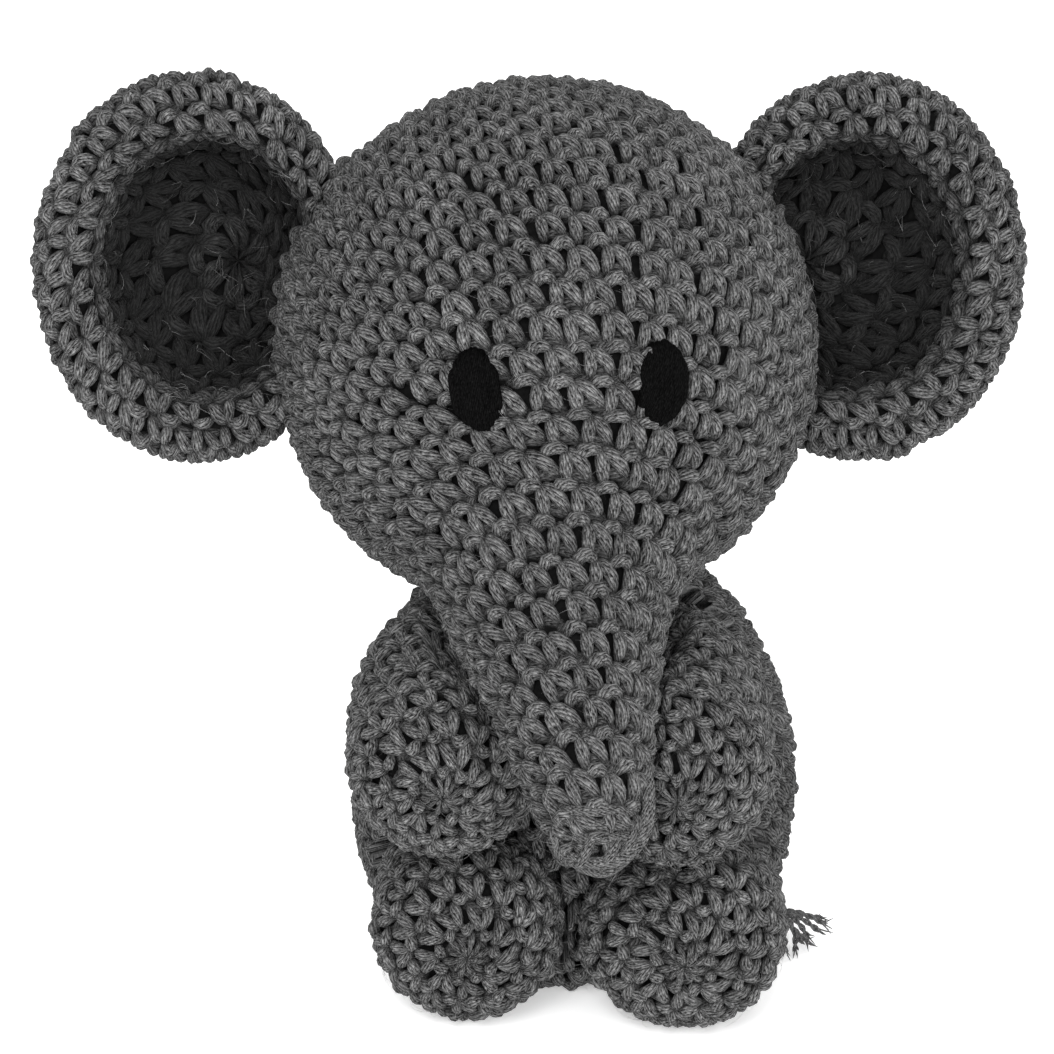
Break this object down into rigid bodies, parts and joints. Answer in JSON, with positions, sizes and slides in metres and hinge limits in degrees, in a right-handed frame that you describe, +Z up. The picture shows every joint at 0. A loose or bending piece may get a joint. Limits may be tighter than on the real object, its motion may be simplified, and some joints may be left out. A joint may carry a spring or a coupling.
{
  "type": "stuffed elephant",
  "caption": "Crocheted sitting elephant with a round head that runs out into a trunk, big cupped ears, short arms and legs, embroidered eyes and a tasselled tail.",
  "frame": {"origin": "middle of the flat seat, on the surface that the elephant sits on", "axes": "+Z up, -Y the way the face looks, +X towards the elephant's left hand, which is the viewer's right"},
  "size_m": [0.1648, 0.1259, 0.1553],
  "materials": {
    "grey_yarn": "thick matt cotton yarn, single crochet, mid-dark grey with a faint fuzz",
    "black_yarn": "black embroidery yarn, upright satin stitches",
    "wadding": "white polyester fibre filling"
  },
  "bodies": {
    "body": {"body_skin": "grey_yarn", "body_stuffing": "wadding", "neck_seam": "grey_yarn", "tail_cord": "grey_yarn", "tail_knot": "grey_yarn", "tail_tassel": "grey_yarn"},
    "head": {"head_skin": "grey_yarn", "head_stuffing": "wadding", "eye_left": "black_yarn", "eye_right": "black_yarn", "ear_seam_left": "grey_yarn", "ear_seam_right": "grey_yarn"},
    "trunk": {"trunk_skin": "grey_yarn", "trunk_stuffing": "wadding", "trunk_tip_seam": "grey_yarn"},
    "ear_left": {"ear_left": "grey_yarn"},
    "ear_right": {"ear_right": "grey_yarn"},
    "arm_left": {"arm_left": "grey_yarn", "arm_stuffing_left": "wadding", "arm_seam_left": "grey_yarn"},
    "arm_right": {"arm_right": "grey_yarn", "arm_stuffing_right": "wadding", "arm_seam_right": "grey_yarn"},
    "leg_left": {"leg_left": "grey_yarn", "leg_stuffing_left": "wadding", "leg_seam_left": "grey_yarn"},
    "leg_right": {"leg_right": "grey_yarn", "leg_stuffing_right": "wadding", "leg_seam_right": "grey_yarn"}
  },
  "joints": [
    {"name": "head_nod", "type": "hinge", "parent": "body", "child": "head", "pos_m": [-0.004, -0.005, 0.06397], "axis": [-1, 0, 0], "range_deg": [0, 14]},
    {"name": "trunk_lift", "type": "hinge", "parent": "head", "child": "trunk", "pos_m": [-0.0014, -0.04476, 0.07476], "axis": [-0.9959, -0.0871, 0.0262], "range_deg": [0, 30]},
    {"name": "ear_left_flap", "type": "hinge", "parent": "head", "child": "ear_left", "pos_m": [-0.04615, -0.00768, 0.12328], "axis": [0.0261, 0.0023, 0.9997], "range_deg": [-12, 12]},
    {"name": "ear_right_flap", "type": "hinge", "parent": "head", "child": "ear_right", "pos_m": [0.0387, -0.00026, 0.12105], "axis": [-0.0261, -0.0023, -0.9997], "range_deg": [-12, 12]},
    {"name": "arm_left_splay", "type": "hinge", "parent": "body", "child": "arm_left", "pos_m": [-0.0205, -0.014, 0.05447], "axis": [0, 0, -1], "range_deg": [0, 35]},
    {"name": "arm_right_splay", "type": "hinge", "parent": "body", "child": "arm_right", "pos_m": [0.0175, -0.017, 0.05447], "axis": [0, 0, 1], "range_deg": [0, 35]},
    {"name": "leg_left_splay", "type": "hinge", "parent": "body", "child": "leg_left", "pos_m": [-0.0167, -0.02, 0.0164], "axis": [0, 0, -1], "range_deg": [0, 20]},
    {"name": "leg_right_splay", "type": "hinge", "parent": "body", "child": "leg_right", "pos_m": [0.0193, -0.023, 0.0164], "axis": [0, 0, 1], "range_deg": [0, 20]}
  ]
}
